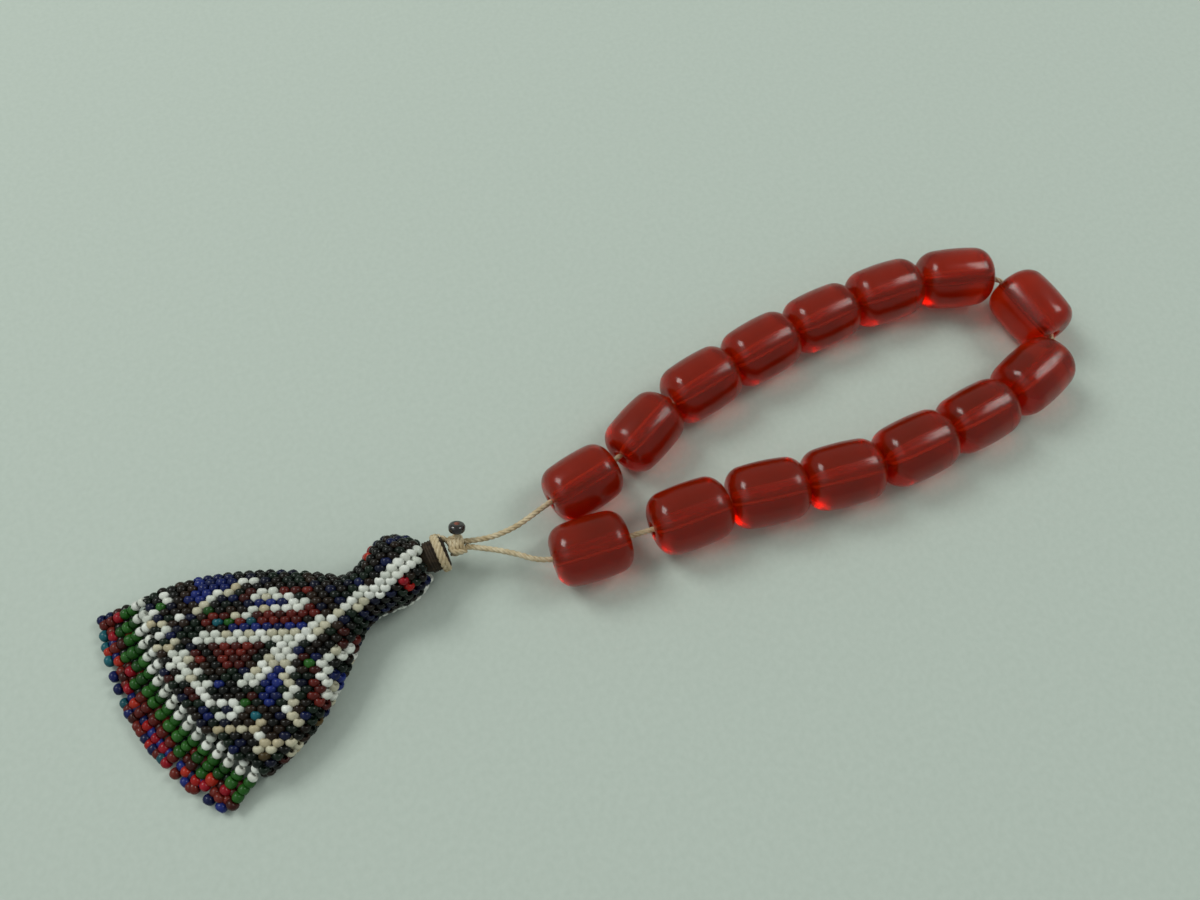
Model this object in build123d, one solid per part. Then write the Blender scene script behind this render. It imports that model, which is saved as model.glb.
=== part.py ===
"""Short string of misbaha prayer beads: fifteen barrel beads on a waxed cord, tied to a
stuffed beadwork tassel with a looped fringe. Millimetres, lying on the plane z = 0.
+X runs from the fringe to the far end of the bead loop, +Z is up, and the origin is
under the middle of everything but the cord."""

from build123d import *
import os
from math import atan2, cos, pi, radians, sin, tan

# ---------------------------------------------------------------- driving dimensions
# resin beads, turned by hand, so their sizes differ by a few hundredths
BEAD_L = 14.4
BEAD_D = 12.0  # across the belly
BEAD_END_D = 10.8  # across the barrel's ends, before the shoulders are rounded
SHOULDER_R = 3.3
HOLE_D = 2.2
HOLE_EASE = 0.4  # chamfer round each mouth of the hole
BEAD_SCALE = [0.95, 0.97, 1, 1, 0.98, 1, 1, 0.99, 1, 0.98, 1.01, 1, 1, 1.01, 0.98]
# which way the cord runs through each bead, in degrees from +X, going round the loop
BEAD_HEADING = [10, 26, 10, 8, 3, -3, -18, -86, -163, -175, -178, -189, -191, -183, -186]
SECOND_BEAD = (8.1, 9.7)  # centre of the bead that the rest are laid out from
BEAD_PLAY = 0.12  # clear space between one bead and the next
FIRST_GAP = 1.0  # slack between beads 1 and 2
LAST_GAP = 4.25  # slack between beads 14 and 15
LAST_GAP_HEADING = -188  # which way that slack runs

# waxed cord
CORD_D = 0.95
CORD_Z = 5.9
KNOT = (-32.0, 2.9, 5.9)  # centre of the knot, and the tassel's swing axis
KNOT_D = 4.4
LEAD_OUT = [(-30.9, 3.4), (-27.3, 2.0), (-21.3, 1.8)]  # from the knot towards bead 1
LEAD_BACK = [(-24.4, -1.3), (-30.6, 2.2)]  # from bead 15 towards the knot
LEAD_STRAIGHT = 1.5  # how far the cord runs straight out of beads 1 and 15
SLACK_STRAIGHT = 0.6  # how far the slack before bead 15 runs straight into it
MOUTH_DEPTH = 0.3  # where a sharply turned cord bends, inside each bead's mouth
HOLE_BOW = 0.25  # how far the cord stands off the middle of a hole that it bends through
SHARP_TURN = 21  # a turn over this many degrees is shared between two bends
FIRST_SHARP = 6  # the corner after bead 7, the first of the two sharp ones
BEND_SHARE = 0.45  # share of a run of cord that one bend may take up
TAIL_L = 4.6
TAIL_HEADING = 60
TAIL_RISE = 50
STOP_BEAD_D = 3.0
STOP_BEAD_L = 1.7
STOP_HOLE_D = 1.0

# tassel: thread cap, head, neck and fan
CAP_D = 5.2
CAP_BALL = (-37.0, 2.9, 5.9)  # centre of the cap's round foot, and the lift axis
CAP_END_X = -34.0
WRAP_TURNS = 2  # turns of the cord round the cap
SOFT_EDGE = 0.4  # share of a small ring's thickness that its edges are rounded by
SEAT_PLAY = 0.2
HEAD_RIM_X = CAP_BALL[0] - 1.3
# stations along the tassel: x, centre y, half width, centre z, half height
STATIONS = [
    (-37.2, 2.9, 2.9, 6.0, 2.8),
    (-39.4, 2.9, 4.9, 6.1, 4.7),
    (-42.5, 2.9, 6.5, 6.2, 6.2),
    (-45.5, 2.6, 6.2, 6.0, 5.9),
    (-48.5, 1.7, 5.2, 5.5, 5.0),
    (-51.5, 0.8, 5.4, 5.1, 4.8),
    (-56.0, -0.3, 9.0, 4.7, 5.0),
    (-62.0, -1.5, 13.6, 4.3, 4.7),
    (-68.0, -2.0, 16.7, 3.8, 4.2),
    (-75.0, -2.0, 19.0, 3.3, 3.7),
    (-82.0, -2.2, 20.3, 2.8, 3.2),
    (-88.5, -2.6, 20.6, 2.3, 2.7),
]
BEADWORK_T = 1.8  # a seed bead and its thread
NECK_X = -49.5  # where the head's beadwork meets the fan's
SIDE_SEAM = ((-88.5, 2.3), (-48.0, 5.2))  # x and z of the fold between front and back
HEM_CENTRE = (-40.4, 11.3)  # centre of the fan's curved lower edge
HEM_R = 46.7
HEM_W = 2.0
CUT = 120.0  # side of the blocks that trim the tassel

# fringe: each strand is one thread through a row of beads, round the last and back
FRINGE_STRANDS = 17
FRINGE_ARC = (173.5, 221.0)  # first and last strand, degrees round the hem's centre
FRINGE_HEADING = (185.0, 203.0)  # which way the first and last strand point
FRINGE_L = 8.0  # from the pivot to the tip
FRINGE_D = 2.0
FRINGE_ROOT = 1.5  # from the hem to the strand's pivot
FRINGE_ROOT_Z = 2.5
FRINGE_DROOP = 10.0

os.makedirs("parts", exist_ok=True)


def save(name, shape):
    """Write one named piece."""
    shape.label = name
    export_step(shape, f"parts/{name}.step")
    return shape


def along(heading, length=1.0):
    """Vector of a length at a heading in the horizontal plane."""
    return Vector(length * cos(radians(heading)), length * sin(radians(heading)), 0)


# ---------------------------------------------------------------- beads
def bead_half(factor):
    """Half the length of a bead of this scale."""
    return BEAD_L * factor / 2


def shoulder_gap(turn):
    """How far a bead's end stands from the cord's corner when the cord turns there."""
    half = radians(abs(turn)) / 2
    belly = (BEAD_D - BEAD_END_D) / 2
    side_slope = 2 * atan2(belly, BEAD_L / 2)
    flat = BEAD_END_D / 2 - SHOULDER_R * tan(pi / 4 - side_slope / 2)
    return flat * tan(half) + SHOULDER_R * (1 / cos(half) - 1) + BEAD_PLAY / 2


def lay_out_beads():
    """Centres of the beads, and the corner of the cord between each pair."""
    count = len(BEAD_HEADING)
    centres = [None] * count
    corners = [None] * (count - 1)
    centres[1] = Vector(*SECOND_BEAD, 0)
    for i in range(1, count - 1):
        turn = BEAD_HEADING[i + 1] - BEAD_HEADING[i]
        slack = along(LAST_GAP_HEADING, LAST_GAP) if i == count - 2 else Vector(0, 0, 0)
        corners[i] = centres[i] + along(BEAD_HEADING[i], bead_half(BEAD_SCALE[i]) + shoulder_gap(turn))
        step = bead_half(BEAD_SCALE[i + 1]) + shoulder_gap(turn)
        centres[i + 1] = corners[i] + slack + along(BEAD_HEADING[i + 1], step)
    turn = BEAD_HEADING[1] - BEAD_HEADING[0]
    corners[0] = centres[1] - along(BEAD_HEADING[1], bead_half(BEAD_SCALE[1]) + shoulder_gap(turn))
    step = bead_half(BEAD_SCALE[0]) + shoulder_gap(turn) + FIRST_GAP
    centres[0] = corners[0] - along(BEAD_HEADING[0], step)
    return centres, corners


def barrel_bead(factor):
    """A bead along X, of this scale: bellied side, rounded shoulders, eased hole."""
    half_l = BEAD_L / 2
    with BuildPart() as bead:
        with BuildSketch(Plane.XZ):
            with BuildLine():
                end_top = (half_l, BEAD_END_D / 2)
                far_top = (-half_l, BEAD_END_D / 2)
                ThreePointArc(end_top, (0, BEAD_D / 2), far_top)
                Polyline(far_top, (-half_l, 0), (half_l, 0), end_top)
            make_face()
            shoulders = vertices().group_by(Axis.Y)[-1]
            fillet(shoulders, SHOULDER_R)
        revolve(axis=Axis.X)
    hole = Rotation(0, 90, 0) * Cylinder(HOLE_D / 2, BEAD_L + 1)
    mouth = Rotation(0, 90, 0) * Cone(HOLE_D / 2, HOLE_D / 2 + HOLE_EASE, HOLE_EASE)
    far_mouth = Rotation(0, 0, 180) * Pos(half_l - HOLE_EASE / 2, 0, 0) * mouth
    body = bead.part - hole - Pos(half_l - HOLE_EASE / 2, 0, 0) * mouth - far_mouth
    return body if factor == 1 else scale(body, by=factor)


centres, corners = lay_out_beads()
for i, heading in enumerate(BEAD_HEADING):
    factor = BEAD_SCALE[i]
    place = Pos(centres[i].X, centres[i].Y, BEAD_D * factor / 2) * Rotation(0, 0, heading)
    save(f"bead_{i + 1:02d}", place * barrel_bead(factor))


# ---------------------------------------------------------------- cord
def inside_hole(i):
    """The cord's point in the middle of a bead, a little to the outside of the loop."""
    return centres[i] + along(BEAD_HEADING[i] + 90, HOLE_BOW)


def cord_route():
    """Points of the cord from the knot, round through every bead, and back to the knot."""
    route = [Vector(x, y, 0) for x, y in LEAD_OUT]
    route.append(centres[0] - along(BEAD_HEADING[0], bead_half(BEAD_SCALE[0]) + LEAD_STRAIGHT))
    route.append(inside_hole(0))
    for i, corner in enumerate(corners):
        turn = BEAD_HEADING[i + 1] - BEAD_HEADING[i]
        if i == len(corners) - 1:
            route += [inside_hole(i), corner]
        elif abs(turn) < SHARP_TURN:
            route.append(corner)
        else:
            inside = shoulder_gap(turn) + MOUTH_DEPTH
            if i == FIRST_SHARP:
                route.append(inside_hole(i))
            route.append(corner - along(BEAD_HEADING[i], inside))
            route.append(corner + along(BEAD_HEADING[i + 1], inside))
            route.append(inside_hole(i + 1))
    route.append(centres[-1] - along(BEAD_HEADING[-1], bead_half(BEAD_SCALE[-1]) + SLACK_STRAIGHT))
    route.append(inside_hole(-1))
    route.append(centres[-1] + along(BEAD_HEADING[-1], bead_half(BEAD_SCALE[-1]) + LEAD_STRAIGHT))
    route += [Vector(x, y, 0) for x, y in LEAD_BACK]
    return [Vector(p.X, p.Y, CORD_Z) for p in route]


def bend_radii(route):
    """Arc radius at each inner point: as large as its two runs allow."""
    radii = []
    for a, b, c in zip(route, route[1:], route[2:]):
        turn = (b - a).get_angle(c - b)
        shorter = min((b - a).length, (c - b).length)
        radii.append(BEND_SHARE * shorter / tan(radians(turn) / 2))
    return radii


route = cord_route()
radii = bend_radii(route)
path = FilletPolyline(*route, radius=radii)
start = Plane(path @ 0, z_dir=path % 0)
string = sweep(start * Circle(CORD_D / 2), path=path)
save("string", string)
print("cord length", round(path.length, 1), "runs", [round((b - a).length, 1) for a, b in zip(route, route[1:])])
print("cord bend radii", [round(r, 1) for r in radii])
print("cord volume against section times length", round(string.volume / (path.length * pi * CORD_D**2 / 4), 4))
for name, points in (("route", route), ("bead centres", centres)):
    print(name, [(round(p.X, 2), round(p.Y, 2)) for p in points])

tail_place = Pos(*KNOT) * Rotation(0, 0, TAIL_HEADING) * Rotation(0, 90 - TAIL_RISE, 0)
knot_ball = Pos(*KNOT) * Sphere(KNOT_D / 2)
tail = tail_place * Pos(0, 0, TAIL_L / 2) * Cylinder(CORD_D / 2, TAIL_L)
tail = tail - knot_ball
ring = Cylinder(STOP_BEAD_D / 2, STOP_BEAD_L) - Cylinder(STOP_HOLE_D / 2, STOP_BEAD_L)
ring = fillet(ring.edges().filter_by(GeomType.CIRCLE).group_by(SortBy.RADIUS)[-1], STOP_BEAD_L * SOFT_EDGE)
save("knot", knot_ball)
save("cord_tail", tail)
save("stop_bead", tail_place * Pos(0, 0, TAIL_L - STOP_BEAD_L / 2) * ring)


# ---------------------------------------------------------------- thread cap and its cord wrap
cap_length = CAP_END_X - CAP_BALL[0]
barrel = Pos(CAP_BALL[0] + cap_length / 2, CAP_BALL[1], CAP_BALL[2]) * Rotation(0, 90, 0)
thread_cap = Pos(*CAP_BALL) * Sphere(CAP_D / 2) + barrel * Cylinder(CAP_D / 2, cap_length)
thread_cap = thread_cap - Pos(*KNOT) * Sphere(KNOT_D / 2 + SEAT_PLAY)
wrap_place = Pos(CAP_END_X - CORD_D, CAP_BALL[1], CAP_BALL[2]) * Rotation(0, 90, 0)
wrap = Cylinder(CAP_D / 2 + CORD_D, WRAP_TURNS * CORD_D)
wrap = fillet(wrap.edges().filter_by(GeomType.CIRCLE), CORD_D * SOFT_EDGE)
cord_wrap = wrap_place * (wrap - Cylinder(CAP_D / 2, WRAP_TURNS * CORD_D))
save("thread_cap", thread_cap)
save("cord_wrap", cord_wrap)


# ---------------------------------------------------------------- tassel bag
def bag(inset):
    """The bag's shape, lofted through its stations and flattened underneath."""
    sections = []
    for x, y, half_w, z, half_h in STATIONS:
        face = Plane(origin=(x, y, z), x_dir=(0, 1, 0), z_dir=(-1, 0, 0))
        sections.append(face * Ellipse(half_w - inset, half_h - inset))
    under = Pos(-CUT / 2, 0, inset - CUT / 2) * Box(CUT, CUT, CUT)
    return loft(sections) - under


def hem_disc(radius):
    """Everything inside the fan's curved lower edge."""
    return Pos(*HEM_CENTRE, 0) * Cylinder(radius, CUT)


def ahead_of(x):
    """Everything on the cap's side of this x."""
    return Pos(x + CUT / 2, 0, 0) * Box(CUT, CUT, CUT)


outer = bag(0) & hem_disc(HEM_R)
filling = bag(BEADWORK_T) & hem_disc(HEM_R - HEM_W)
cap_seat = Pos(*CAP_BALL) * Sphere(CAP_D / 2 + SEAT_PLAY)
outer = outer - ahead_of(HEAD_RIM_X) - cap_seat
filling = filling - ahead_of(HEAD_RIM_X - BEADWORK_T) - cap_seat
head_side = ahead_of(NECK_X)
(x_low, z_low), (x_high, z_high) = SIDE_SEAM
slope = (z_high - z_low) / (x_high - x_low)
with BuildPart() as above_seam:
    with BuildSketch(Plane.XZ):
        Polygon(
            (-CUT, z_low - slope * (x_low + CUT)),
            (0, z_high - slope * x_high),
            (0, CUT),
            (-CUT, CUT),
            align=None,
        )
    extrude(amount=CUT, both=True)

hem = outer - hem_disc(HEM_R - HEM_W)
shell = (outer & hem_disc(HEM_R - HEM_W)) - filling
save("head_beadwork", shell & head_side)
save("front_beadwork", (shell - head_side) & above_seam.part)
save("back_beadwork", (shell - head_side) - above_seam.part)
save("hem_beadwork", hem)
save("head_core", filling & head_side)
save("tassel_stuffing", filling - head_side)


# ---------------------------------------------------------------- fringe
def fringe_strand():
    """One strand along X, rounded about its pivot and at its tip."""
    reach = FRINGE_L - FRINGE_D / 2
    row = Pos(reach / 2, 0, 0) * Rotation(0, 90, 0) * Cylinder(FRINGE_D / 2, reach)
    pivot = Rotation(90, 0, 0) * Cylinder(FRINGE_D / 2, FRINGE_D)
    return row + pivot + Pos(reach, 0, 0) * Sphere(FRINGE_D / 2)


for i in range(FRINGE_STRANDS):
    share = i / (FRINGE_STRANDS - 1)
    angle = FRINGE_ARC[0] + share * (FRINGE_ARC[1] - FRINGE_ARC[0])
    heading = FRINGE_HEADING[0] + share * (FRINGE_HEADING[1] - FRINGE_HEADING[0])
    root = Vector(*HEM_CENTRE, 0) + along(angle, HEM_R) + along(heading, FRINGE_ROOT)
    place = Pos(root.X, root.Y, FRINGE_ROOT_Z) * Rotation(0, 0, heading) * Rotation(0, FRINGE_DROOP, 0)
    save(f"fringe_strand_{i + 1:02d}", place * fringe_strand())
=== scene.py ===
"""Misbaha prayer beads: fifteen cherry resin beads on a waxed cord, tied to a stuffed
beadwork tassel with a bead fringe. Metres in the CAD frame unless a name says mm."""
import math
import random

import bpy
import numpy as np
from mathutils import Matrix, Vector


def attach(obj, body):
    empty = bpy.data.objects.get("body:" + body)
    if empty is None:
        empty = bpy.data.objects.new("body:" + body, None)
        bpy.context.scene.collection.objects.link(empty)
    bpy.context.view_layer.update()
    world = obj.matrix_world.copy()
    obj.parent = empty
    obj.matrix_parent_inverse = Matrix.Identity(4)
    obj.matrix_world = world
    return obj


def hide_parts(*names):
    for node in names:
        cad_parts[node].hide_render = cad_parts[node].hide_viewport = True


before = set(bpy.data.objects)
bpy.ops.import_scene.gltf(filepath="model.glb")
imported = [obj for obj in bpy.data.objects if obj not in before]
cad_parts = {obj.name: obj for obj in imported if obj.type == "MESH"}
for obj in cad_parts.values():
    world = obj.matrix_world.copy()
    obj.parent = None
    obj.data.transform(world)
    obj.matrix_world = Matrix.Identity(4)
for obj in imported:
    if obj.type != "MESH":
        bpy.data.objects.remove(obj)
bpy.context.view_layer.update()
MM = 0.001


def mm(*xyz):
    """A point given in millimetres."""
    return Vector(xyz) * MM


# ---------------------------------------------------------------- camera
VIEW_HEADING = math.radians(65.643)
VIEW_PITCH = math.radians(64.6)
look = Vector((
    math.cos(VIEW_HEADING) * math.cos(VIEW_PITCH),
    math.sin(VIEW_HEADING) * math.cos(VIEW_PITCH),
    -math.sin(VIEW_PITCH),
))
camera_data = bpy.data.cameras.new("camera")
camera_data.lens = 26.94
camera_data.sensor_width = 36
camera_data.clip_start = 0.005
camera = bpy.data.objects.new("camera", camera_data)
camera.location = mm(-30.7, -55.74, 157)
camera.rotation_euler = look.to_track_quat("-Z", "Y").to_euler()
bpy.context.scene.collection.objects.link(camera)
bpy.context.scene.camera = camera


# ---------------------------------------------------------------- meshes
def finish_piece(name, verts, faces, material, smooth=True):
    """A mesh object of these points and faces."""
    mesh = bpy.data.meshes.new(name)
    mesh.from_pydata([tuple(v) for v in verts], [], faces)
    mesh.polygons.foreach_set("use_smooth", [smooth] * len(mesh.polygons))
    mesh.materials.append(material)
    mesh.update()
    obj = bpy.data.objects.new(name, mesh)
    bpy.context.scene.collection.objects.link(obj)
    return obj


def any_across(direction):
    """A unit vector square to this one."""
    return direction.orthogonal().normalized()


def sweep_ring(points, radius, sides):
    """Points and faces of a round tube along these points, closed at both ends."""
    verts, faces = [], []
    side = None
    count = len(points)
    for i, point in enumerate(points):
        ahead = (points[min(i + 1, count - 1)] - points[max(i - 1, 0)]).normalized()
        side = any_across(ahead) if side is None else (side - ahead * side.dot(ahead)).normalized()
        other = ahead.cross(side)
        for k in range(sides):
            turn = 2 * math.pi * k / sides
            verts.append(point + radius * (math.cos(turn) * side + math.sin(turn) * other))
    for i in range(count - 1):
        for k in range(sides):
            a = i * sides + k
            b = i * sides + (k + 1) % sides
            faces.append((a, b, b + sides, a + sides))
    faces.append(tuple(range(sides))[::-1])
    faces.append(tuple((count - 1) * sides + k for k in range(sides)))
    return verts, faces


def respaced(points, step):
    """The same line with its points evenly spaced, and its length."""
    runs = [0.0]
    for a, b in zip(points, points[1:]):
        runs.append(runs[-1] + (b - a).length)
    count = max(3, round(runs[-1] / step) + 1)
    wanted = np.linspace(0, runs[-1], count)
    columns = [np.interp(wanted, runs, [p[k] for p in points]) for k in range(3)]
    return [Vector(p) for p in zip(*columns)], runs[-1]


def twisted_rope(line, strand_r, lay_r, pitch, strands=3, step=0.3 * MM, sides=7):
    """Points and faces of a rope laid from round strands along a line."""
    points, length = respaced(line, step)
    along = [length * i / (len(points) - 1) for i in range(len(points))]
    side = None
    helices = [[] for _ in range(strands)]
    for i, point in enumerate(points):
        ahead = (points[min(i + 1, len(points) - 1)] - points[max(i - 1, 0)]).normalized()
        side = any_across(ahead) if side is None else (side - ahead * side.dot(ahead)).normalized()
        other = ahead.cross(side)
        for k, helix in enumerate(helices):
            turn = 2 * math.pi * (along[i] / pitch + k / strands)
            helix.append(point + lay_r * (math.cos(turn) * side + math.sin(turn) * other))
    verts, faces = [], []
    for helix in helices:
        more, rings = sweep_ring(helix, strand_r, sides)
        faces += [tuple(v + len(verts) for v in face) for face in rings]
        verts += more
    return verts, faces


def lathe(profile, place, segments):
    """Points and faces of a closed profile of (along, out) turned about the place's X axis."""
    verts, faces = [], []
    count = len(profile)
    for k in range(segments):
        turn = 2 * math.pi * k / segments
        for along, out in profile:
            verts.append(place @ Vector((along, out * math.cos(turn), out * math.sin(turn))))
    for k in range(segments):
        for j in range(count):
            a = k * count + j
            b = k * count + (j + 1) % count
            c = (k + 1) % segments * count
            faces.append((a, b, c + (j + 1) % count, c + j))
    return verts, faces


# ---------------------------------------------------------------- materials
def grain_group():
    """Shared surface grain: a value and a height from object-space noise of a given size."""
    group = bpy.data.node_groups.new("grain", "ShaderNodeTree")
    face = group.interface
    scale = face.new_socket("Scale", in_out="INPUT", socket_type="NodeSocketFloat")
    scale.default_value = 1000
    low = face.new_socket("Low", in_out="INPUT", socket_type="NodeSocketFloat")
    low.default_value = 0.2
    high = face.new_socket("High", in_out="INPUT", socket_type="NodeSocketFloat")
    high.default_value = 0.5
    face.new_socket("Amount", in_out="OUTPUT", socket_type="NodeSocketFloat")
    face.new_socket("Height", in_out="OUTPUT", socket_type="NodeSocketFloat")
    nodes, links = group.nodes, group.links
    start = nodes.new("NodeGroupInput")
    end = nodes.new("NodeGroupOutput")
    where = nodes.new("ShaderNodeTexCoord")
    noise = nodes.new("ShaderNodeTexNoise")
    noise.inputs["Detail"].default_value = 4
    spread = nodes.new("ShaderNodeMapRange")
    spread.inputs["From Min"].default_value = 0.3
    spread.inputs["From Max"].default_value = 0.7
    links.new(where.outputs["Object"], noise.inputs["Vector"])
    links.new(start.outputs["Scale"], noise.inputs["Scale"])
    links.new(noise.outputs["Fac"], spread.inputs["Value"])
    links.new(start.outputs["Low"], spread.inputs["To Min"])
    links.new(start.outputs["High"], spread.inputs["To Max"])
    links.new(spread.outputs["Result"], end.inputs["Amount"])
    links.new(noise.outputs["Fac"], end.inputs["Height"])
    return group


GRAIN = grain_group()


class Finish:
    """A Principled material with grain on its roughness and surface."""

    def __init__(self, name, colour, roughness, grain, bump):
        self.material = bpy.data.materials.new(name)
        self.material.use_nodes = True
        self.nodes = self.material.node_tree.nodes
        self.links = self.material.node_tree.links
        self.shader = self.nodes["Principled BSDF"]
        self.shader.inputs["Base Color"].default_value = (*colour, 1)
        fine = self.grain(grain, *roughness)
        self.links.new(fine.outputs["Amount"], self.shader.inputs["Roughness"])
        self.bump = self.nodes.new("ShaderNodeBump")
        self.bump.inputs["Strength"].default_value = bump[0]
        self.bump.inputs["Distance"].default_value = bump[1] * MM
        self.links.new(fine.outputs["Height"], self.bump.inputs["Height"])
        self.links.new(self.bump.outputs["Normal"], self.shader.inputs["Normal"])

    def grain(self, scale, low, high):
        node = self.nodes.new("ShaderNodeGroup")
        node.node_tree = GRAIN
        node.inputs["Scale"].default_value = scale
        node.inputs["Low"].default_value = low
        node.inputs["High"].default_value = high
        return node

    def set(self, **values):
        for name, value in values.items():
            self.shader.inputs[name.replace("_", " ")].default_value = value
        return self

    def mottled(self, light, dark, scale):
        """Base colour that wanders between two colours."""
        patch = self.grain(scale, 0, 1)
        mix = self.nodes.new("ShaderNodeMix")
        mix.data_type = "RGBA"
        mix.inputs["A"].default_value = (*dark, 1)
        mix.inputs["B"].default_value = (*light, 1)
        self.links.new(patch.outputs["Amount"], mix.inputs["Factor"])
        self.links.new(mix.outputs["Result"], self.shader.inputs["Base Color"])
        return self

    def tinted(self, attribute, scale):
        """Base colour from the mesh's own colours, a little uneven."""
        own = self.nodes.new("ShaderNodeAttribute")
        own.attribute_name = attribute
        patch = self.grain(scale, 0.78, 1.1)
        mix = self.nodes.new("ShaderNodeMix")
        mix.data_type = "RGBA"
        mix.blend_type = "MULTIPLY"
        mix.inputs["Factor"].default_value = 1
        self.links.new(own.outputs["Color"], mix.inputs["A"])
        self.links.new(patch.outputs["Amount"], mix.inputs["B"])
        self.links.new(mix.outputs["Result"], self.shader.inputs["Base Color"])
        return self


RESIN_DEPTH = 165  # how fast the resin soaks up light, per metre
resin = Finish("cherry_resin", (0.68, 0.060, 0.002), (0.14, 0.26), 260, (0.05, 0.05))
resin.set(Transmission_Weight=0.90, IOR=1.4, Specular_IOR_Level=0.2)
soak = resin.nodes.new("ShaderNodeVolumeAbsorption")
soak.inputs["Color"].default_value = (0.93, 0.17, 0.01, 1)
soak.inputs["Density"].default_value = RESIN_DEPTH
resin.links.new(soak.outputs["Volume"], resin.nodes["Material Output"].inputs["Volume"])

waxed_cord = Finish("waxed_cord", (0.5, 0.4, 0.25), (0.42, 0.7), 2600, (0.5, 0.08))
waxed_cord.mottled((0.62, 0.52, 0.35), (0.40, 0.29, 0.15), 700)
dark_glass = Finish("dark_glass", (0.012, 0.009, 0.008), (0.08, 0.25), 900, (0.15, 0.05))
dark_glass.mottled((0.03, 0.02, 0.018), (0.008, 0.006, 0.006), 600).set(Coat_Weight=0.4)
brown_thread = Finish("brown_thread", (0.04, 0.025, 0.014), (0.6, 0.85), 4000, (0.6, 0.06))
brown_thread.mottled((0.055, 0.036, 0.020), (0.014, 0.009, 0.006), 1100).set(Specular_IOR_Level=0.25)
dark_thread = Finish("dark_thread", (0.02, 0.016, 0.012), (0.7, 0.95), 3500, (0.7, 0.08))
dark_thread.mottled((0.016, 0.012, 0.008), (0.005, 0.004, 0.004), 900).set(Specular_IOR_Level=0.2)
wool = Finish("wool_core", (0.12, 0.09, 0.07), (0.8, 0.98), 2500, (0.8, 0.12))
wool.mottled((0.16, 0.12, 0.09), (0.07, 0.05, 0.04), 500)
seed_glass = Finish("seed_glass", (0.5, 0.5, 0.5), (0.14, 0.34), 1500, (0.2, 0.04))
seed_glass.tinted("bead_colour", 900).set(Specular_IOR_Level=0.22)
rusty_end = Finish("cord_end", (0.2, 0.05, 0.03), (0.5, 0.8), 2500, (0.5, 0.05))
rusty_end.mottled((0.26, 0.07, 0.04), (0.10, 0.03, 0.02), 1500)


# ---------------------------------------------------------------- cord
CORD_D = 0.95
STRAND_R = 0.285
LAY_R = 0.255
CORD_PITCH = 3.1
ROUTE = [
    (-30.9, 3.4), (-27.3, 2.0), (-21.3, 1.8), (-14.98, 3.55), (-6.81, 5.24), (1.41, 6.44),
    (14.79, 12.96), (29.53, 15.56), (44.07, 17.6), (58.54, 18.36), (73.55, 17.58),
    (80.89, 15.46), (87.37, 13.09), (90.23, 9.43), (90.95, 2.63), (91.18, -4.19),
    (88.21, -8.52), (81.68, -10.77), (74.39, -12.74), (59.85, -14.01), (44.86, -14.54),
    (30.21, -12.22), (15.73, -9.4), (8.2, -9.26), (0.82, -8.62), (-2.92, -8.08),
    (-10.56, -7.53), (-19.04, -6.38),
    (-24.4, -1.3), (-30.6, 2.2),
]
CORD_Z = 5.9


def cord_line():
    """The cord's own line, read from a smooth spline through its route."""
    data = bpy.data.curves.new("cord_route", "CURVE")
    data.dimensions = "3D"
    data.resolution_u = 24
    spline = data.splines.new("NURBS")
    spline.points.add(len(ROUTE) - 1)
    for point, (x, y) in zip(spline.points, ROUTE):
        point.co = (*mm(x, y, CORD_Z), 1)
    spline.order_u = 3
    spline.use_endpoint_u = True
    holder = bpy.data.objects.new("cord_route", data)
    mesh = bpy.data.meshes.new_from_object(holder)
    points = [v.co.copy() for v in mesh.vertices]
    bpy.data.objects.remove(holder)
    return points


cord_points = cord_line()
cord = finish_piece(
    "cord",
    *twisted_rope(cord_points, STRAND_R * MM, LAY_R * MM, CORD_PITCH * MM),
    waxed_cord.material,
)
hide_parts("string")
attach(cord, "string")

# knot, its tail and the small bead on the tail
KNOT = mm(-32.0, 2.9, 5.9)
KNOT_SIZE = 0.56  # half the width of the knot's middle turns
KNOT_DEEP = 1.15  # how far its lobes reach fore and aft
KNOT_STEPS = 144
COLLAR_R = 1.2
COLLAR_HALF = 0.95
COLLAR_TURNS = 2.6
COLLAR_STEPS = 80
TAIL_TUCK = 0.5  # the tail starts this far out of the knot's middle
TAIL_L = 4.6
TAIL_HEADING = math.radians(60)
TAIL_RISE = math.radians(50)
tail_way = Vector((
    math.cos(TAIL_HEADING) * math.cos(TAIL_RISE),
    math.sin(TAIL_HEADING) * math.cos(TAIL_RISE),
    math.sin(TAIL_RISE),
))


def knot_line():
    """A three-lobed knot about the way the cord pulls."""
    points = []
    for i in range(KNOT_STEPS + 1):
        t = 2 * math.pi * i / KNOT_STEPS
        across = math.sin(t) + 2 * math.sin(2 * t)
        upward = math.cos(t) - 2 * math.cos(2 * t)
        points.append(KNOT + mm(-KNOT_DEEP * math.sin(3 * t), across * KNOT_SIZE, upward * KNOT_SIZE))
    return points


def collar_line():
    """Tight turns of the cord's end round the knot's middle, inside the knot's ball."""
    points = []
    for i in range(COLLAR_STEPS + 1):
        turn = 2 * math.pi * COLLAR_TURNS * i / COLLAR_STEPS
        along = COLLAR_HALF * (2 * i / COLLAR_STEPS - 1)
        points.append(KNOT + mm(along, COLLAR_R * math.cos(turn), COLLAR_R * math.sin(turn)))
    return points


def rope_piece(name, line, body, replaced):
    """A short rope of the same cord."""
    made = twisted_rope(line, STRAND_R * MM, LAY_R * MM, CORD_PITCH * MM, step=0.2 * MM)
    piece = finish_piece(name, *made, waxed_cord.material)
    if replaced:
        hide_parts(replaced)
    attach(piece, body)
    return piece


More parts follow.
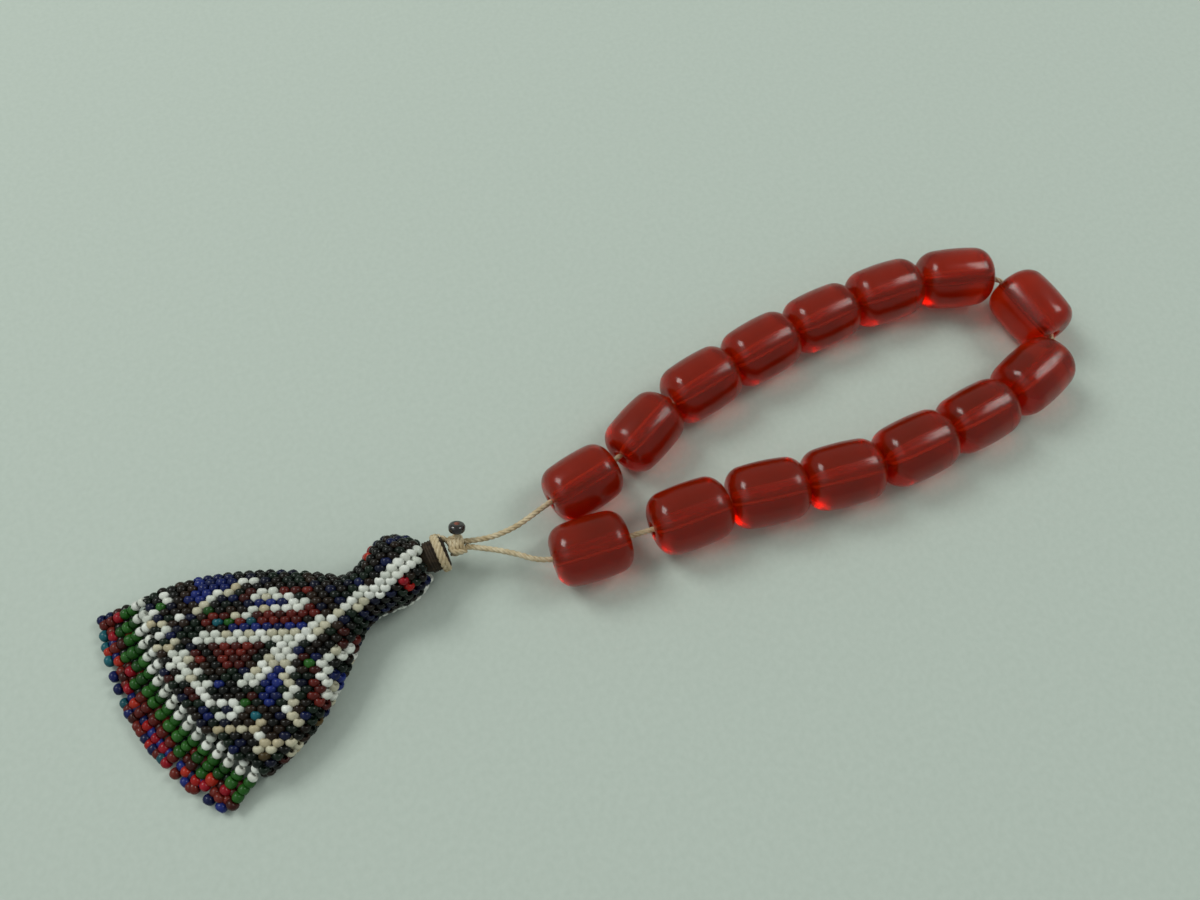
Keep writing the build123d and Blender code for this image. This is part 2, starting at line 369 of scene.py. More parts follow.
rope_piece("knot_turns", knot_line(), "string", "knot")
rope_piece("knot_collar", collar_line(), "string", None)
tail_line = [KNOT + tail_way * s * MM for s in (TAIL_TUCK, TAIL_L - 0.4)]
rope_piece("tail_rope", tail_line, "string", "cord_tail")
end_cap = [KNOT + tail_way * s * MM for s in (TAIL_L - 0.8, TAIL_L + 0.05)]
stub = finish_piece("tail_end", *sweep_ring(end_cap, 0.5 * MM, 16), rusty_end.material)
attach(stub, "string")

# thread cap: turns of brown thread, and two turns of cord lashed round its end
CAP_X = (-37.4, -34.1)
CAP_R = 2.6
CAP_Y = 2.9
CAP_Z = 5.9
THREAD_R = 0.27
LASH_X = (-35.45, -34.5)


def coil_line(x_from, x_to, radius, turns, per_turn=28):
    """A coil round the cap's middle."""
    count = round(turns * per_turn)
    points = []
    for i in range(count + 1):
        turn = 2 * math.pi * i / per_turn
        x = x_from + (x_to - x_from) * i / count
        points.append(mm(x, CAP_Y + radius * math.cos(turn), CAP_Z + radius * math.sin(turn)))
    return points


winding = finish_piece(
    "cap_winding",
    *sweep_ring(coil_line(*CAP_X, CAP_R + 0.02, 7), THREAD_R * MM, 7),
    brown_thread.material,
)
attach(winding, "thread_cap")
lashing = coil_line(*LASH_X, CAP_R + CORD_D / 2, 2)
lashing += [mm(-33.4, 4.9, CAP_Z), KNOT + mm(-0.6, 0.5, 0)]
rope_piece("lashing", lashing, "thread_cap", "cord_wrap")


# ---------------------------------------------------------------- resin beads
BEAD_SCALE = [0.95, 0.97, 1, 1, 0.98, 1, 1, 0.99, 1, 0.98, 1.01, 1, 1, 1.01, 0.98]
BEAD_HEADING = [10, 26, 10, 8, 3, -3, -18, -86, -163, -175, -178, -189, -191, -183, -186]
BEAD_CENTRE = [
    (-6.76, 5.0), (8.1, 9.7), (22.33, 14.29), (36.76, 16.58), (51.29, 17.98), (65.93, 17.98),
    (80.81, 15.22), (90.7, 2.62), (81.61, -10.53), (67.01, -13.39), (52.45, -14.27),
    (37.43, -13.36), (23.04, -10.82), (8.21, -9.01), (-10.53, -7.28),
]
BEAD_HALF_L = 7.2
BEAD_R = 6.0
BEAD_END_R = 5.4
SHOULDER_R = 3.3
HOLE_R = 1.1
HOLE_EASE = 0.4
END_RING = 0.35  # width of the ring that keeps the flat end crisp by the hole
BEAD_SEGMENTS = 96


def arc(cx, cy, radius, start, end, count):
    """Points on an arc, angles in radians from +X."""
    return [
        (cx + radius * math.cos(a), cy + radius * math.sin(a))
        for a in np.linspace(start, end, count)
    ]


def bead_profile():
    """Closed profile of a barrel bead: belly, round shoulders, flat ends, eased hole."""
    rise = BEAD_R - BEAD_END_R
    belly_r = (BEAD_HALF_L**2 + rise**2) / (2 * rise)
    belly_y = BEAD_R - belly_r
    shoulder_x = BEAD_HALF_L - SHOULDER_R
    shoulder_y = belly_y + math.sqrt((belly_r - SHOULDER_R) ** 2 - shoulder_x**2)
    meet = math.atan2(shoulder_y - belly_y, shoulder_x)
    right = arc(shoulder_x, shoulder_y, SHOULDER_R, 0, meet, 12)
    belly = arc(0, belly_y, belly_r, meet, math.pi - meet, 15)[1:-1]
    left = [(-x, y) for x, y in reversed(right)]
    foot = [
        (-BEAD_HALF_L, HOLE_R + HOLE_EASE + END_RING),
        (-BEAD_HALF_L, HOLE_R + HOLE_EASE),
        (-BEAD_HALF_L + HOLE_EASE, HOLE_R),
    ]
    bore = [(x, HOLE_R) for x in np.linspace(-BEAD_HALF_L + 2 * HOLE_EASE, BEAD_HALF_L - 2 * HOLE_EASE, 5)]
    other = [(-x, y) for x, y in reversed(foot)]
    return right + belly + left + foot + bore + other


profile = [(x * MM, y * MM) for x, y in bead_profile()]
for i, ((x, y), heading, size) in enumerate(zip(BEAD_CENTRE, BEAD_HEADING, BEAD_SCALE)):
    node = f"bead_{i + 1:02d}"
    place = (
        Matrix.Translation(mm(x, y, BEAD_R * size))
        @ Matrix.Rotation(math.radians(heading), 4, "Z")
        @ Matrix.Scale(size, 4)
    )
    bead = finish_piece(f"resin_{node}", *lathe(profile, place, BEAD_SEGMENTS), resin.material)
    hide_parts(node)
    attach(bead, node)


# ---------------------------------------------------------------- tassel's shape
STATIONS = [
    (-37.2, 2.9, 2.9, 6.0, 2.8), (-39.4, 2.9, 4.9, 6.1, 4.7), (-42.5, 2.9, 6.5, 6.2, 6.2),
    (-45.5, 2.6, 6.2, 6.0, 5.9), (-48.5, 1.7, 5.2, 5.5, 5.0), (-51.5, 0.8, 5.4, 5.1, 4.8),
    (-56.0, -0.3, 9.0, 4.7, 5.0), (-62.0, -1.5, 13.6, 4.3, 4.7), (-68.0, -2.0, 16.7, 3.8, 4.2),
    (-75.0, -2.0, 19.0, 3.3, 3.7), (-82.0, -2.2, 20.3, 2.8, 3.2), (-88.5, -2.6, 20.6, 2.3, 2.7),
]
HEM_CENTRE = (-40.4, 11.3)
HEM_R = 46.7
SEED_R = 1.03
SEED_L = 1.5
COLUMN = 2.03  # seed-bead pitch across its hole
ROW = 1.03  # seed-bead pitch along its hole; a row laps the one before
TILT = math.radians(24)  # how far the lapping lifts a bead's far end
INSET = 0.95  # from the bag's outside to the middles of its beads
FLOOR_GAP = 1.03
LATTICE_TURN = math.radians(-24.36)
E1 = (math.cos(LATTICE_TURN), math.sin(LATTICE_TURN))
E2 = (-E1[1], E1[0])
PATTERN_ZERO = (-61.37, -2.31)  # where the white lines meet
RIM_X = -38.5
FAN_X = -60  # past this the fan's edge is the hem's arc


TABLE_ROWS = 520


def smooth_table():
    """The stations filled in along a smooth curve, from the fan's hem to the rim."""
    rows = sorted(STATIONS)
    xs = np.array([r[0] for r in rows])
    wanted = np.linspace(xs[0], xs[-1], TABLE_ROWS)
    table = [wanted]
    for k in range(1, 5):
        ys = np.array([r[k] for r in rows])
        slopes = np.gradient(ys, xs)
        j = np.clip(np.searchsorted(xs, wanted) - 1, 0, len(xs) - 2)
        h = xs[j + 1] - xs[j]
        t = (wanted - xs[j]) / h
        table.append(
            (2 * t**3 - 3 * t**2 + 1) * ys[j]
            + (t**3 - 2 * t**2 + t) * h * slopes[j]
            + (3 * t**2 - 2 * t**3) * ys[j + 1]
            + (t**3 - t**2) * h * slopes[j + 1]
        )
    return table


TABLE = smooth_table()
TOP = TABLE[3] + TABLE[4]
climb = np.concatenate([[0], np.cumsum(np.hypot(np.diff(TABLE[0]), np.diff(TOP)))])
climb -= np.interp(PATTERN_ZERO[0], TABLE[0], climb)


class Section:
    """The ring of bead middles round the bag at one x."""

    def __init__(self, x, inset=INSET):
        self.y, half_w, mid, half_h = (float(np.interp(x, TABLE[0], column)) for column in TABLE[1:])
        a = max(half_w - inset, 0.5)
        b = max(half_h - inset, 0.5)
        power = 2 + max(0.0, min(1.0, (a / b - 1) / 5))
        turn = np.linspace(0, math.pi, 121)
        self.across = a * np.sin(turn) ** (2 / power)
        up = np.abs(np.cos(turn)) ** (2 / power) * np.sign(np.cos(turn))
        self.height = np.maximum(mid + b * up, FLOOR_GAP + (inset - INSET))
        step = np.hypot(np.diff(self.across), np.diff(self.height))
        self.run = np.concatenate([[0], np.cumsum(step)])
        self.half_round = float(self.run[-1])

    def at(self, q):
        """y and z at an arc length from the top line."""
        side = 1 if q >= 0 else -1
        across = np.interp(abs(q), self.run, self.across)
        return self.y + side * float(across), float(np.interp(abs(q), self.run, self.height))


def on_bag(sheet_x, sheet_y):
    """Point of the bag's bead layer for a point of its unrolled sheet, or None off it."""
    x = float(np.interp(sheet_x - PATTERN_ZERO[0], climb, TABLE[0]))
    ring = Section(x)
    q = sheet_y - ring.y
    if abs(q) > ring.half_round:
        return None
    y, z = ring.at(q)
    return Vector((x, y, z)), q, ring


# ---------------------------------------------------------------- bead pattern
# lines and patches of the worked pattern, in beads (column, row) from where the white lines meet
WHITE_LINES = [
    (1.6, [(10, 15), (8.5, 12), (7, 9), (5, 7), (3.5, 5), (2.5, 3), (0.5, 0.5)]),
    (2, [(0.5, 0.5), (-8.5, 0.5)]),
    (1.7, [(-0.5, -1), (-2.5, -4), (-4, -6.5)]),
    (1, [(-0.5, -3), (-0.5, -7), (0, -8), (-0.5, -11), (0.5, -13)]),
    (1, [(5, -1), (3.5, -2), (2, -4), (2.5, -7), (2.5, -9)]),
    (1, [(4.5, -3), (4, -5), (4, -6), (3.5, -9)]),
    (1, [(-9.5, 5), (-8.5, 7), (-7.5, 8), (-6, 10), (-5, 10)]),
    (1, [(-5.5, 4), (-3.5, 5), (-1, 5)]),
    (1, [(-4, 7), (-3.5, 8), (-2, 7), (0, 6)]),
    (1, [(-11.5, 2), (-12.5, 1), (-10.5, 0), (-12.5, -1), (-9.5, -2), (-10.5, -4), (-8.5, -5), (-10, -6)]),
    (1, [(-10, -6), (-7.5, -7), (-8, -8), (-7, -10), (-5.5, -10), (-4.5, -11), (-5.5, -12)]),
    (1, [(-2.5, -13), (-3.5, -14), (-5.5, -14)]),
    (1, [(-2, -15), (-2.5, -17), (-1.5, -17), (-1, -16), (0.5, -16), (0, -17)]),
    (1, [(-12.5, 8), (-13, 5), (-14, 4), (-12.5, 3), (-11, 4)]),
]
RED_PATCHES = [
    [(-8, -0.5), (-2.5, -0.5), (-3.5, -2.5), (-5, -5.5), (-6.5, -3)],
    [(-10, -7), (-8, -7), (-8, -10), (-9, -9)],
    [(-9.5, -1), (-8, -2), (-8, -5), (-9, -3)],
]
RED_LINES = [
    (2, [(-8, 3.5), (-5.5, 3.5), (-3.5, 3), (-1.5, 3.5), (0.5, 4.5)]),
    (1, [(5.5, 1), (4.5, 0), (3, -2)]),
    (1, [(5.5, -1), (5.5, -3), (5, -5)]),
    (1.2, [(2, -5), (1.5, -7), (2, -10), (3, -11), (3.5, -10)]),
    (1.6, [(-4.5, 8), (-2, 8), (-2, 7), (-0.5, 8)]),
]
BLUE_PATCHES = [
    [(-2.5, -5), (-1, -4), (-1, -8), (-1.5, -11), (-3, -9)],
    [(-7, -6), (-5.5, -7), (-6.5, -9)],
    [(-10.5, 11), (-6.5, 11), (-6.5, 9), (-9, 8), (-9.5, 6), (-10.5, 7)],
]
BLUE_LINES = [
    (1, [(2, -4), (3, -6), (3, -7)]),
    (1, [(-7.5, -11), (-6, -12)]),
    (1, [(-6, 2), (0, 2)]),
    (1, [(-3.5, 6), (-2, 6)]),
]
LINE_HALF = 0.5  # half the width of a line one bead wide, in beads
WHITE = [(0.66, 0.67, 0.61), (0.58, 0.60, 0.54), (0.72, 0.73, 0.68), (0.50, 0.47, 0.35)]
CREAM = [(0.45, 0.39, 0.26), (0.52, 0.48, 0.35), (0.38, 0.32, 0.20)]
OXBLOOD = [(0.060, 0.008, 0.006), (0.095, 0.010, 0.007), (0.040, 0.007, 0.005), (0.13, 0.014, 0.009)]
BRIGHT_RED = [(0.30, 0.008, 0.006), (0.36, 0.022, 0.010), (0.26, 0.006, 0.014)]
NAVY = [(0.005, 0.007, 0.028), (0.006, 0.010, 0.050), (0.004, 0.005, 0.016)]
BLUE = [(0.006, 0.012, 0.090), (0.005, 0.009, 0.055), (0.012, 0.022, 0.15)]
DARK = [(0.005, 0.005, 0.004), (0.009, 0.006, 0.004), (0.004, 0.008, 0.005), (0.006, 0.013, 0.007)]
BROWN = [(0.016, 0.009, 0.005), (0.024, 0.013, 0.008)]
GREEN = [(0.016, 0.085, 0.010), (0.012, 0.055, 0.009), (0.025, 0.11, 0.016)]
TEAL = [(0.010, 0.10, 0.13), (0.008, 0.065, 0.085)]
KHAKI = [(0.09, 0.055, 0.018), (0.055, 0.036, 0.014)]
SPOTS = [  # single beads of another colour
    (TEAL, [(-3, -12), (-7.5, 3), (-4.5, 3)]),
    (KHAKI, [(2, -12), (-2, -18), (0, -18)]),
    (BROWN, [(-10.5, 9), (-10, 6), (-10.5, 3)]),
    (GREEN, [(-4, -10), (-8.5, 5), (-13, 6), (1, -4), (-6.5, 3)]),
    (NAVY[1:2], [(-11.5, 1), (-7.5, -11), (0, -2)]),
]
# running shares of the dark colours between the worked lines
GROUND_MIX = ((0.60, DARK), (0.74, NAVY), (0.92, BROWN), (0.97, DARK[3:]), (1.0, OXBLOOD[2:3]))
RED_EYES = ((-42.4, -0.9), (-46.6, 7.2))  # red spots on the head, in the plan
EYE_R = 1.15
HEAD_TOP_Z = 6.5  # the white lines run on over the head above this
FOOT_BAND = (0.56, 0.68)  # the head's white foot, as shares of half its girth
CREAM_ROW = -12.5  # past this row most of the white beads are cream


def in_beads(x, y):
    """A point of the plan in mm as counts of beads along the pattern's columns and rows."""
    dx, dy = x - PATTERN_ZERO[0], y - PATTERN_ZERO[1]
    return (dx * E1[0] + dy * E1[1]) / COLUMN, (dx * E2[0] + dy * E2[1]) / ROW


def off_line(u, v, points):
    """How far a point is from a bent line."""
    best = 1e9
    for (ax, ay), (bx, by) in zip(points, points[1:]):
        dx, dy = bx - ax, by - ay
        t = max(0.0, min(1.0, ((u - ax) * dx + (v - ay) * dy) / max(dx * dx + dy * dy, 1e-9)))
        best = min(best, math.hypot(u - ax - t * dx, v - ay - t * dy))
    return best


def inside(u, v, points):
    """Whether a point is in a patch."""
    found = False
    for (ax, ay), (bx, by) in zip(points, points[1:] + points[:1]):
        if (ay > v) != (by > v) and u < (bx - ax) * (v - ay) / (by - ay) + ax:
            found = not found
    return found


def pattern_colour(x, y, rng):
    """Colour of the worked pattern at a point of the plan, in mm."""
    u, v = in_beads(x, y)
    for colours, places in SPOTS:
        if any(abs(u - a) < 0.52 and abs(v - b) < 0.5 for a, b in places):
            return rng.choice(colours)
    for width, line in WHITE_LINES:
        if off_line(u, v, line) < width * LINE_HALF:
            return rng.choice(CREAM if rng.random() < (0.7 if v < CREAM_ROW else 0.1) else WHITE)
    for patches, lines, colours in ((RED_PATCHES, RED_LINES, OXBLOOD), (BLUE_PATCHES, BLUE_LINES, BLUE)):
        if any(inside(u, v, patch) for patch in patches):
            return rng.choice(colours)
        if any(off_line(u, v, line) < width * LINE_HALF for width, line in lines):
            return rng.choice(colours)
    pick = rng.random()
    return rng.choice(next(colours for share, colours in GROUND_MIX if pick <= share))


def head_colour(point, q, ring, rng):
    """Colour on the round head: dark, with a white pair of lines, red eyes and a white foot."""
    u, v = in_beads(point.x, point.y)
    if point.z > HEAD_TOP_Z and off_line(u, v, WHITE_LINES[0][1]) < 2 * LINE_HALF:
        return rng.choice(WHITE[:3])
    if FOOT_BAND[0] < -q / ring.half_round < FOOT_BAND[1]:
        return rng.choice(WHITE[:3])
    if any(math.hypot(point.x - x, point.y - y) < EYE_R for x, y in RED_EYES):
        return rng.choice(BRIGHT_RED)
    return rng.choice(NAVY + DARK + DARK + BROWN[:1])


# ---------------------------------------------------------------- sewing on seed beads
def seed_template():
    """One seed bead about Z, a few dozen faces: its profile goes round the bead's wall."""
    far_half = [(0.44, 0.96), (0.74, 0.86), (0.94, 0.48), (1, 0)]
    near_half = [(r, -z) for r, z in reversed(far_half[:-1])]
    wall = [(0.32, 0)] + far_half + near_half
    turned = Matrix.Rotation(math.radians(-90), 4, "Y")
    ring = [(z * SEED_L / 2 * MM, r * SEED_R * MM) for r, z in wall]
    verts, faces = lathe(ring, turned, 12)
    return finish_piece("seed_bead", verts, faces, seed_glass.material)


SEED = seed_template()


def sewing_group():
    """Sets a bead on every point, turned, sized and coloured as the point says."""
    group = bpy.data.node_groups.new("sew_beads", "GeometryNodeTree")
    face = group.interface
    face.new_socket("Geometry", in_out="INPUT", socket_type="NodeSocketGeometry")
    face.new_socket("Bead", in_out="INPUT", socket_type="NodeSocketObject")
    face.new_socket("Glass", in_out="INPUT", socket_type="NodeSocketMaterial")
    face.new_socket("Seed", in_out="INPUT", socket_type="NodeSocketInt")
    face.new_socket("Geometry", in_out="OUTPUT", socket_type="NodeSocketGeometry")
    nodes, links = group.nodes, group.links
    start = nodes.new("NodeGroupInput")
    end = nodes.new("NodeGroupOutput")
    bead = nodes.new("GeometryNodeObjectInfo")
    turn = nodes.new("GeometryNodeInputNamedAttribute")
    turn.data_type = "FLOAT_VECTOR"
    turn.inputs["Name"].default_value = "turn"
    as_rotation = nodes.new("FunctionNodeEulerToRotation")
    swell = nodes.new("FunctionNodeRandomValue")
    swell.data_type = "FLOAT_VECTOR"
    swell.inputs[0].default_value = (0.90, 0.90, 0.86)
    swell.inputs[1].default_value = (1.02, 1.02, 1.06)
    size = nodes.new("GeometryNodeInputNamedAttribute")
    size.data_type = "FLOAT"
    size.inputs["Name"].default_value = "size"
    grow = nodes.new("ShaderNodeVectorMath")
    grow.operation = "SCALE"
    spread = nodes.new("GeometryNodeInstanceOnPoints")
    realize = nodes.new("GeometryNodeRealizeInstances")
    paint = nodes.new("GeometryNodeSetMaterial")
    links.new(start.outputs["Bead"], bead.inputs["Object"])
    links.new(start.outputs["Geometry"], spread.inputs["Points"])
    links.new(bead.outputs["Geometry"], spread.inputs["Instance"])
    links.new(turn.outputs[0], as_rotation.inputs[0])
    links.new(as_rotation.outputs[0], spread.inputs["Rotation"])
    links.new(start.outputs["Seed"], swell.inputs["Seed"])
    links.new(swell.outputs[0], grow.inputs[0])
    links.new(size.outputs[0], grow.inputs["Scale"])
    links.new(grow.outputs[0], spread.inputs["Scale"])
    links.new(spread.outputs["Instances"], realize.inputs["Geometry"])
    links.new(realize.outputs["Geometry"], paint.inputs["Geometry"])
    links.new(start.outputs["Glass"], paint.inputs["Material"])
    links.new(paint.outputs["Geometry"], end.inputs["Geometry"])
    return group


SEWING = sewing_group()


def turned_to(hole, outward):
    """Euler turn that lays a bead's hole along one way, with its side facing outward."""
    hole = hole.normalized()
    outward = (outward - hole * outward.dot(hole)).normalized()
    side = outward.cross(hole)
    return Matrix((side, outward, hole)).transposed().to_euler()


def sew(name, beads, seed):
    """One mesh of seed beads. Each is (middle in mm, hole's way, outward way, size, colour)."""
    mesh = bpy.data.meshes.new(name)
    mesh.from_pydata([tuple(b[0] * MM) for b in beads], [], [])
    turns = mesh.attributes.new("turn", "FLOAT_VECTOR", "POINT")
    turns.data.foreach_set("vector", [a for b in beads for a in turned_to(b[1], b[2])])
    sizes = mesh.attributes.new("size", "FLOAT", "POINT")
    sizes.data.foreach_set("value", [b[3] for b in beads])
    tints = mesh.attributes.new("bead_colour", "FLOAT_COLOR", "POINT")
    tints.data.foreach_set("color", [c for b in beads for c in (*b[4], 1)])
    obj = bpy.data.objects.new(name, mesh)
    bpy.context.scene.collection.objects.link(obj)
    sewing = obj.modifiers.new("sewing", "NODES")
    sewing.node_group = SEWING
    named = {s.name: s.identifier for s in SEWING.interface.items_tree if s.in_out == "INPUT"}
    sewing[named["Bead"]] = SEED
    sewing[named["Glass"]] = seed_glass.material
    sewing[named["Seed"]] = seed
    bpy.context.view_layer.update()
    graph = bpy.context.evaluated_depsgraph_get()
    seen = obj.evaluated_get(graph)
    made = bpy.data.meshes.new_from_object(seen, preserve_all_data_layers=True, depsgraph=graph)
    obj.modifiers.clear()
    obj.data = made
    bpy.data.meshes.remove(mesh)
    made.name = name
    for spent in ("turn", "size"):
        if spent in made.attributes:
            made.attributes.remove(made.attributes[spent])
    return obj


NECK_X = -49.5
HEM_KEEP = 45.0  # the bag's own beads stop this far from the hem's centre
RIM_KEEP = 1.9  # and this far short of the rim
SEAM_GAP = 1.3
SEAM_END_X = -84.5
WOBBLE = 0.09
ROWS_EACH_WAY = 48
COLUMNS_EACH_WAY = 26


def from_hem_centre(x, y):
    return math.hypot(x - HEM_CENTRE[0], y - HEM_CENTRE[1])


def bag_beads():
    """Beads of the head, front and back, on one slanting lattice round the whole bag."""
    rng = random.Random(7)
    groups = {"head": [], "front": [], "back": []}
    small = 0.05
    for row in range(-ROWS_EACH_WAY, ROWS_EACH_WAY + 1):
        for column in range(-COLUMNS_EACH_WAY, COLUMNS_EACH_WAY + 1):
            c = (column + 0.5 * (row % 2)) * COLUMN
            r = row * ROW
            sx = PATTERN_ZERO[0] + c * E1[0] + r * E2[0]
            sy = PATTERN_ZERO[1] + c * E1[1] + r * E2[1]
            if not climb[0] + 0.2 <= sx - PATTERN_ZERO[0] <= climb[-1] - RIM_KEEP:
                continue
            found = on_bag(sx, sy)
            if found is None:
                continue
            point, q, ring = found
            past_hem = point.x < FAN_X and from_hem_centre(point.x, point.y) > HEM_KEEP
            if past_hem or abs(q) > ring.half_round - SEAM_GAP:
                continue
            ahead = on_bag(sx + small * E2[0], sy + small * E2[1])
            beside = on_bag(sx + small * E1[0], sy + small * E1[1])
            if ahead is None or beside is None:
                continue
            hole = (ahead[0] - point).normalized()
            across = (beside[0] - point).normalized()
            outward = across.cross(hole)
            if point.x > NECK_X:
                part = "head"
                colour = head_colour(point, q, ring, rng)
            else:
                under = abs(q) > ring.half_round / 2
                part = "back" if under else "front"
                colour = pattern_colour(point.x, point.y, rng)
            hole = hole * math.cos(TILT) + outward * math.sin(TILT)
            hole += Vector([rng.uniform(-WOBBLE, WOBBLE) for _ in range(3)])
            groups[part].append((point, hole, outward, 1.0, colour))
    # a straight line of beads closes the seam underneath
    along, down = Vector((1, 0, 0)), Vector((0, 0, -1))
    x = RIM_X - 1.5
    while x > SEAM_END_X:
        ring = Section(x)
        y, z = ring.at(ring.half_round)
        part = "head" if x > NECK_X else "back"
        groups[part].append((Vector((x, y, z)), along, down, 0.95, rng.choice(DARK)))
        x -= SEED_L * 0.95
    return groups


STRANDS = 17
HEM_ARC = (173.5, 221.0)
STRAND_HEADING = (185.0, 203.0)
STRAND_ROOT = 1.5
STRAND_ROOT_Z = 2.5
STRAND_DROOP = math.radians(10)
STRAND_PITCH = 1.42
STRAND_ASIDE = 1.15


def flat_way(degrees):
    return Vector((math.cos(math.radians(degrees)), math.sin(math.radians(degrees)), 0))


def strand_places():
    """Root, heading and place round the hem for every strand."""
    centre = Vector((*HEM_CENTRE, 0))
    for i in range(STRANDS):
        share = i / (STRANDS - 1)
        angle = HEM_ARC[0] + share * (HEM_ARC[1] - HEM_ARC[0])
        heading = STRAND_HEADING[0] + share * (STRAND_HEADING[1] - STRAND_HEADING[0])
        root = centre + flat_way(angle) * HEM_R + flat_way(heading) * STRAND_ROOT
        yield i, centre, angle, flat_way(heading), root + Vector((0, 0, STRAND_ROOT_Z))


def hem_beads():
    """White pairs on the hem's edge, one pair a strand, and dark rows on its wall."""
    rng = random.Random(11)
    beads = []
    up = Vector((0, 0, 1))
    for _, centre, angle, way, _ in strand_places():
        out = flat_way(angle)
        sloped = (way - up * 0.55).normalized()
        for reach, z in ((-1.25, 4.15), (0.15, 3.45)):
            middle = centre + out * (HEM_R + reach) + up * z
            beads.append((middle, sloped, up + out * 0.5, 0.88, rng.choice(WHITE[:3])))
    for reach, z, colours in ((-1.3, 2.1, DARK), (-1.6, FLOOR_GAP, BROWN), (-3.2, FLOOR_GAP, DARK)):
        count = round(math.radians(HEM_ARC[1] - HEM_ARC[0]) * HEM_R / COLUMN) + 2
        for k in range(count):
            angle = HEM_ARC[0] - 1.2 + (HEM_ARC[1] - HEM_ARC[0] + 2.4) * k / (count - 1)
            out = flat_way(angle)
            middle = centre + out * (HEM_R + reach) + up * z
            beads.append((middle, out.cross(up), out, 0.95, rng.choice(colours)))
    return beads


def strand_beads(way, root, rng):
    """One strand of the fringe: greens, reds and a tip above, and its way back beside and below."""
    up = Vector((0, 0, 1))
    aside = way.cross(up)
    lean = way + aside * rng.uniform(-0.16, 0.10)
    greens = rng.choice((2, 2, 3))
    above = [rng.choice(GREEN) for _ in range(greens)]
    above += [rng.choice(BRIGHT_RED + OXBLOOD[1:]) for _ in range(rng.choice((4, 5, 5)) - greens)]
    tips = BLUE + TEAL + NAVY[1:2] + OXBLOOD[3:]
    below = [rng.choice(OXBLOOD + DARK) for _ in range(2)] + [rng.choice(tips) for _ in range(2)]
    beads = []
    for colours, start, drop in (
        (above, root - way * 0.35, 1.0),
        (below, root + way * 1.1 + aside * STRAND_ASIDE - up * 1.3, 0.4),
    ):
        point = start.copy()
        droop = STRAND_DROOP * drop
        for colour in colours:
            hole = (lean * math.cos(droop) - up * math.sin(droop)).normalized()
            sag = hole + Vector([rng.uniform(-0.14, 0.14) for _ in range(3)])
            beads.append((point.copy(), sag, up, rng.uniform(1.0, 1.1), colour))
            point += hole * STRAND_PITCH
            point.z = max(point.z, FLOOR_GAP + 0.05)
            droop += STRAND_DROOP * drop * 0.3
    return beads


bag = bag_beads()
for part, replaced in (("head", "head_beadwork"), ("front", "front_beadwork"), ("back", "back_beadwork")):
    piece = sew(f"{part}_beads", bag[part], len(part))
    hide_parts(replaced)
    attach(piece, "tassel")
hem = sew("hem_beads", hem_beads(), 3)
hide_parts("hem_beadwork")
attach(hem, "tassel")
fringe_rng = random.Random(23)
for i, _, _, way, root in strand_places():
    node = f"fringe_strand_{i + 1:02d}"
    strand = sew(f"{node}_beads", strand_beads(way, root, fringe_rng), 40 + i)
    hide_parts(node)
    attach(strand, node)
bpy.data.objects.remove(SEED)


# ---------------------------------------------------------------- thread ground under the beads
GROUND_UNDER = 0.45  # below the middles of the beads
GROUND_SHORT = 2.2  # short of the hem's arc
GROUND_END_X = -86.0


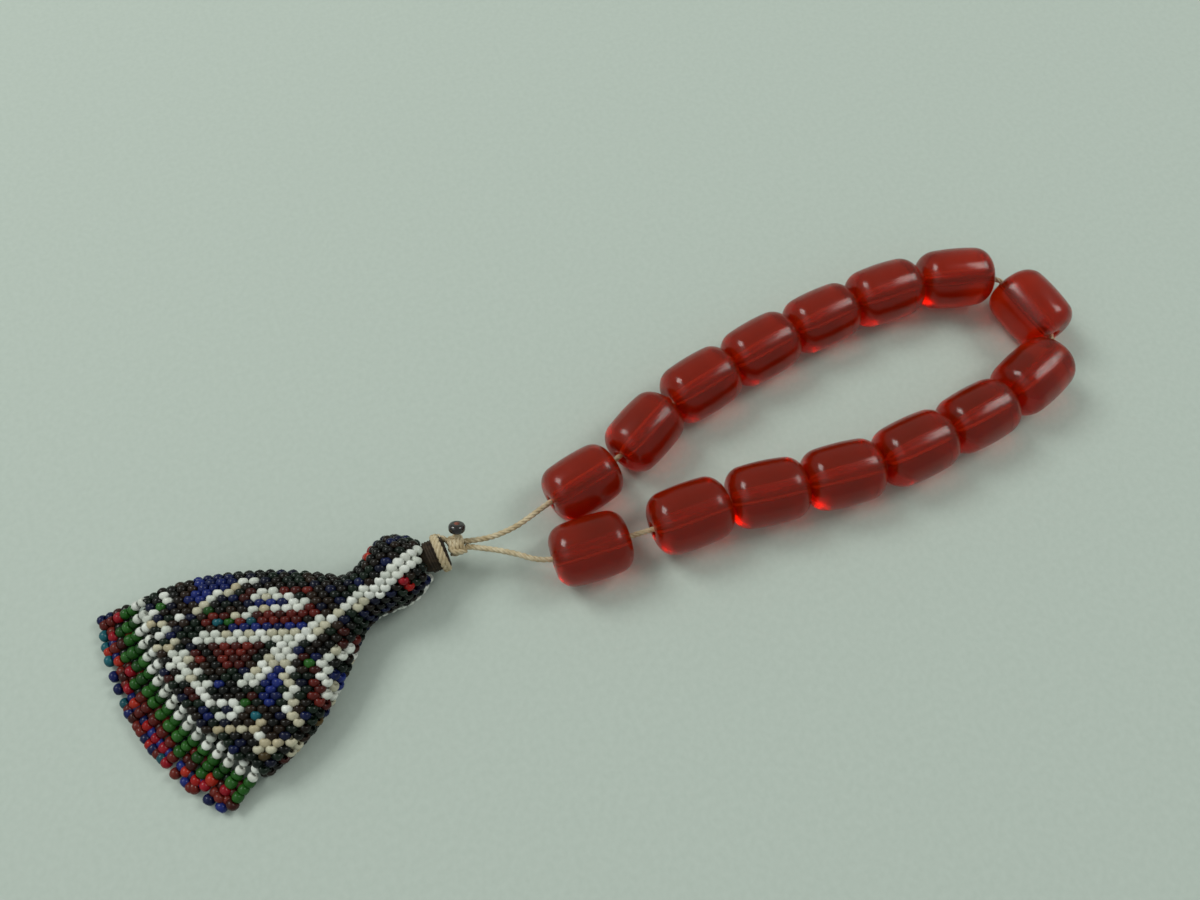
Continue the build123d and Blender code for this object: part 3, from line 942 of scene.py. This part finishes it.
def ground_cloth():
    """Dark thread ground that the beads are worked on, a closed bag."""
    inset = INSET + GROUND_UNDER
    xs = np.linspace(GROUND_END_X, RIM_X - 1.0, 96)
    verts, faces = [], []
    around = 64
    edge = HEM_R - GROUND_SHORT
    for x in xs:
        ring = Section(float(x), inset)
        for k in range(around):
            share = 2 * k / around
            q = (share if share <= 1 else share - 2) * ring.half_round
            y, z = ring.at(q)
            px = float(x)
            reach = from_hem_centre(px, y)
            if px < FAN_X and reach > edge:
                pull = edge / reach
                px = HEM_CENTRE[0] + (px - HEM_CENTRE[0]) * pull
                y = HEM_CENTRE[1] + (y - HEM_CENTRE[1]) * pull
            verts.append(mm(px, y, z))
    for i in range(len(xs) - 1):
        for k in range(around):
            a = i * around + k
            b = i * around + (k + 1) % around
            faces.append((a, a + around, b + around, b))
    faces.append(tuple(range(around)))
    faces.append(tuple((len(xs) - 1) * around + k for k in range(around))[::-1])
    return finish_piece("thread_ground", verts, faces, dark_thread.material)


ground = ground_cloth()
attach(ground, "tassel")

# ---------------------------------------------------------------- CAD pieces that stay as they are
for node, finish in (
    ("stop_bead", dark_glass),
    ("thread_cap", brown_thread),
    ("head_core", wool),
    ("tassel_stuffing", wool),
):
    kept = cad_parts[node]
    kept.data.materials.clear()
    kept.data.materials.append(finish.material)

# ---------------------------------------------------------------- floor and light
FLOOR_HALF = 3
pale_cloth = Finish("pale_cloth", (0.5, 0.57, 0.52), (0.85, 0.98), 1500, (0.15, 0.05))
pale_cloth.mottled((0.50, 0.56, 0.51), (0.47, 0.53, 0.48), 900)
corners = [(x * FLOOR_HALF, y * FLOOR_HALF, 0) for x, y in ((-1, -1), (1, -1), (1, 1), (-1, 1))]
floor = finish_piece("floor", corners, [(0, 1, 2, 3)], pale_cloth.material, smooth=False)


def soft_light(name, place, size, power, colour):
    """A square light aimed at the middle of the beads."""
    data = bpy.data.lights.new(name, "AREA")
    data.size = size
    data.energy = power
    data.color = colour
    lamp = bpy.data.objects.new(name, data)
    lamp.location = place
    lamp.rotation_euler = (-Vector(place)).to_track_quat("-Z", "Y").to_euler()
    bpy.context.scene.collection.objects.link(lamp)


def beside_camera(right, ahead, up):
    """A place by the camera's own right and forward ways, in metres."""
    return (right * E1[0] + ahead * E2[0], right * E1[1] + ahead * E2[1], up)


soft_light("left_window", beside_camera(-0.62, 0.35, 0.8), 0.42, 4.9, (0.97, 1.0, 0.96))
soft_light("right_window", beside_camera(0.66, 0.25, 0.75), 0.36, 2.7, (0.97, 1.0, 0.96))
soft_light("ceiling", beside_camera(-0.9, -0.4, 1.3), 1.2, 2.2, (0.98, 1.0, 0.96))
world = bpy.data.worlds.new("room")
world.use_nodes = True
world.node_tree.nodes["Background"].inputs["Color"].default_value = (0.80, 0.88, 0.84, 1)
world.node_tree.nodes["Background"].inputs["Strength"].default_value = 0.40
bpy.context.scene.world = world
bpy.context.scene.view_settings.view_transform = "Standard"
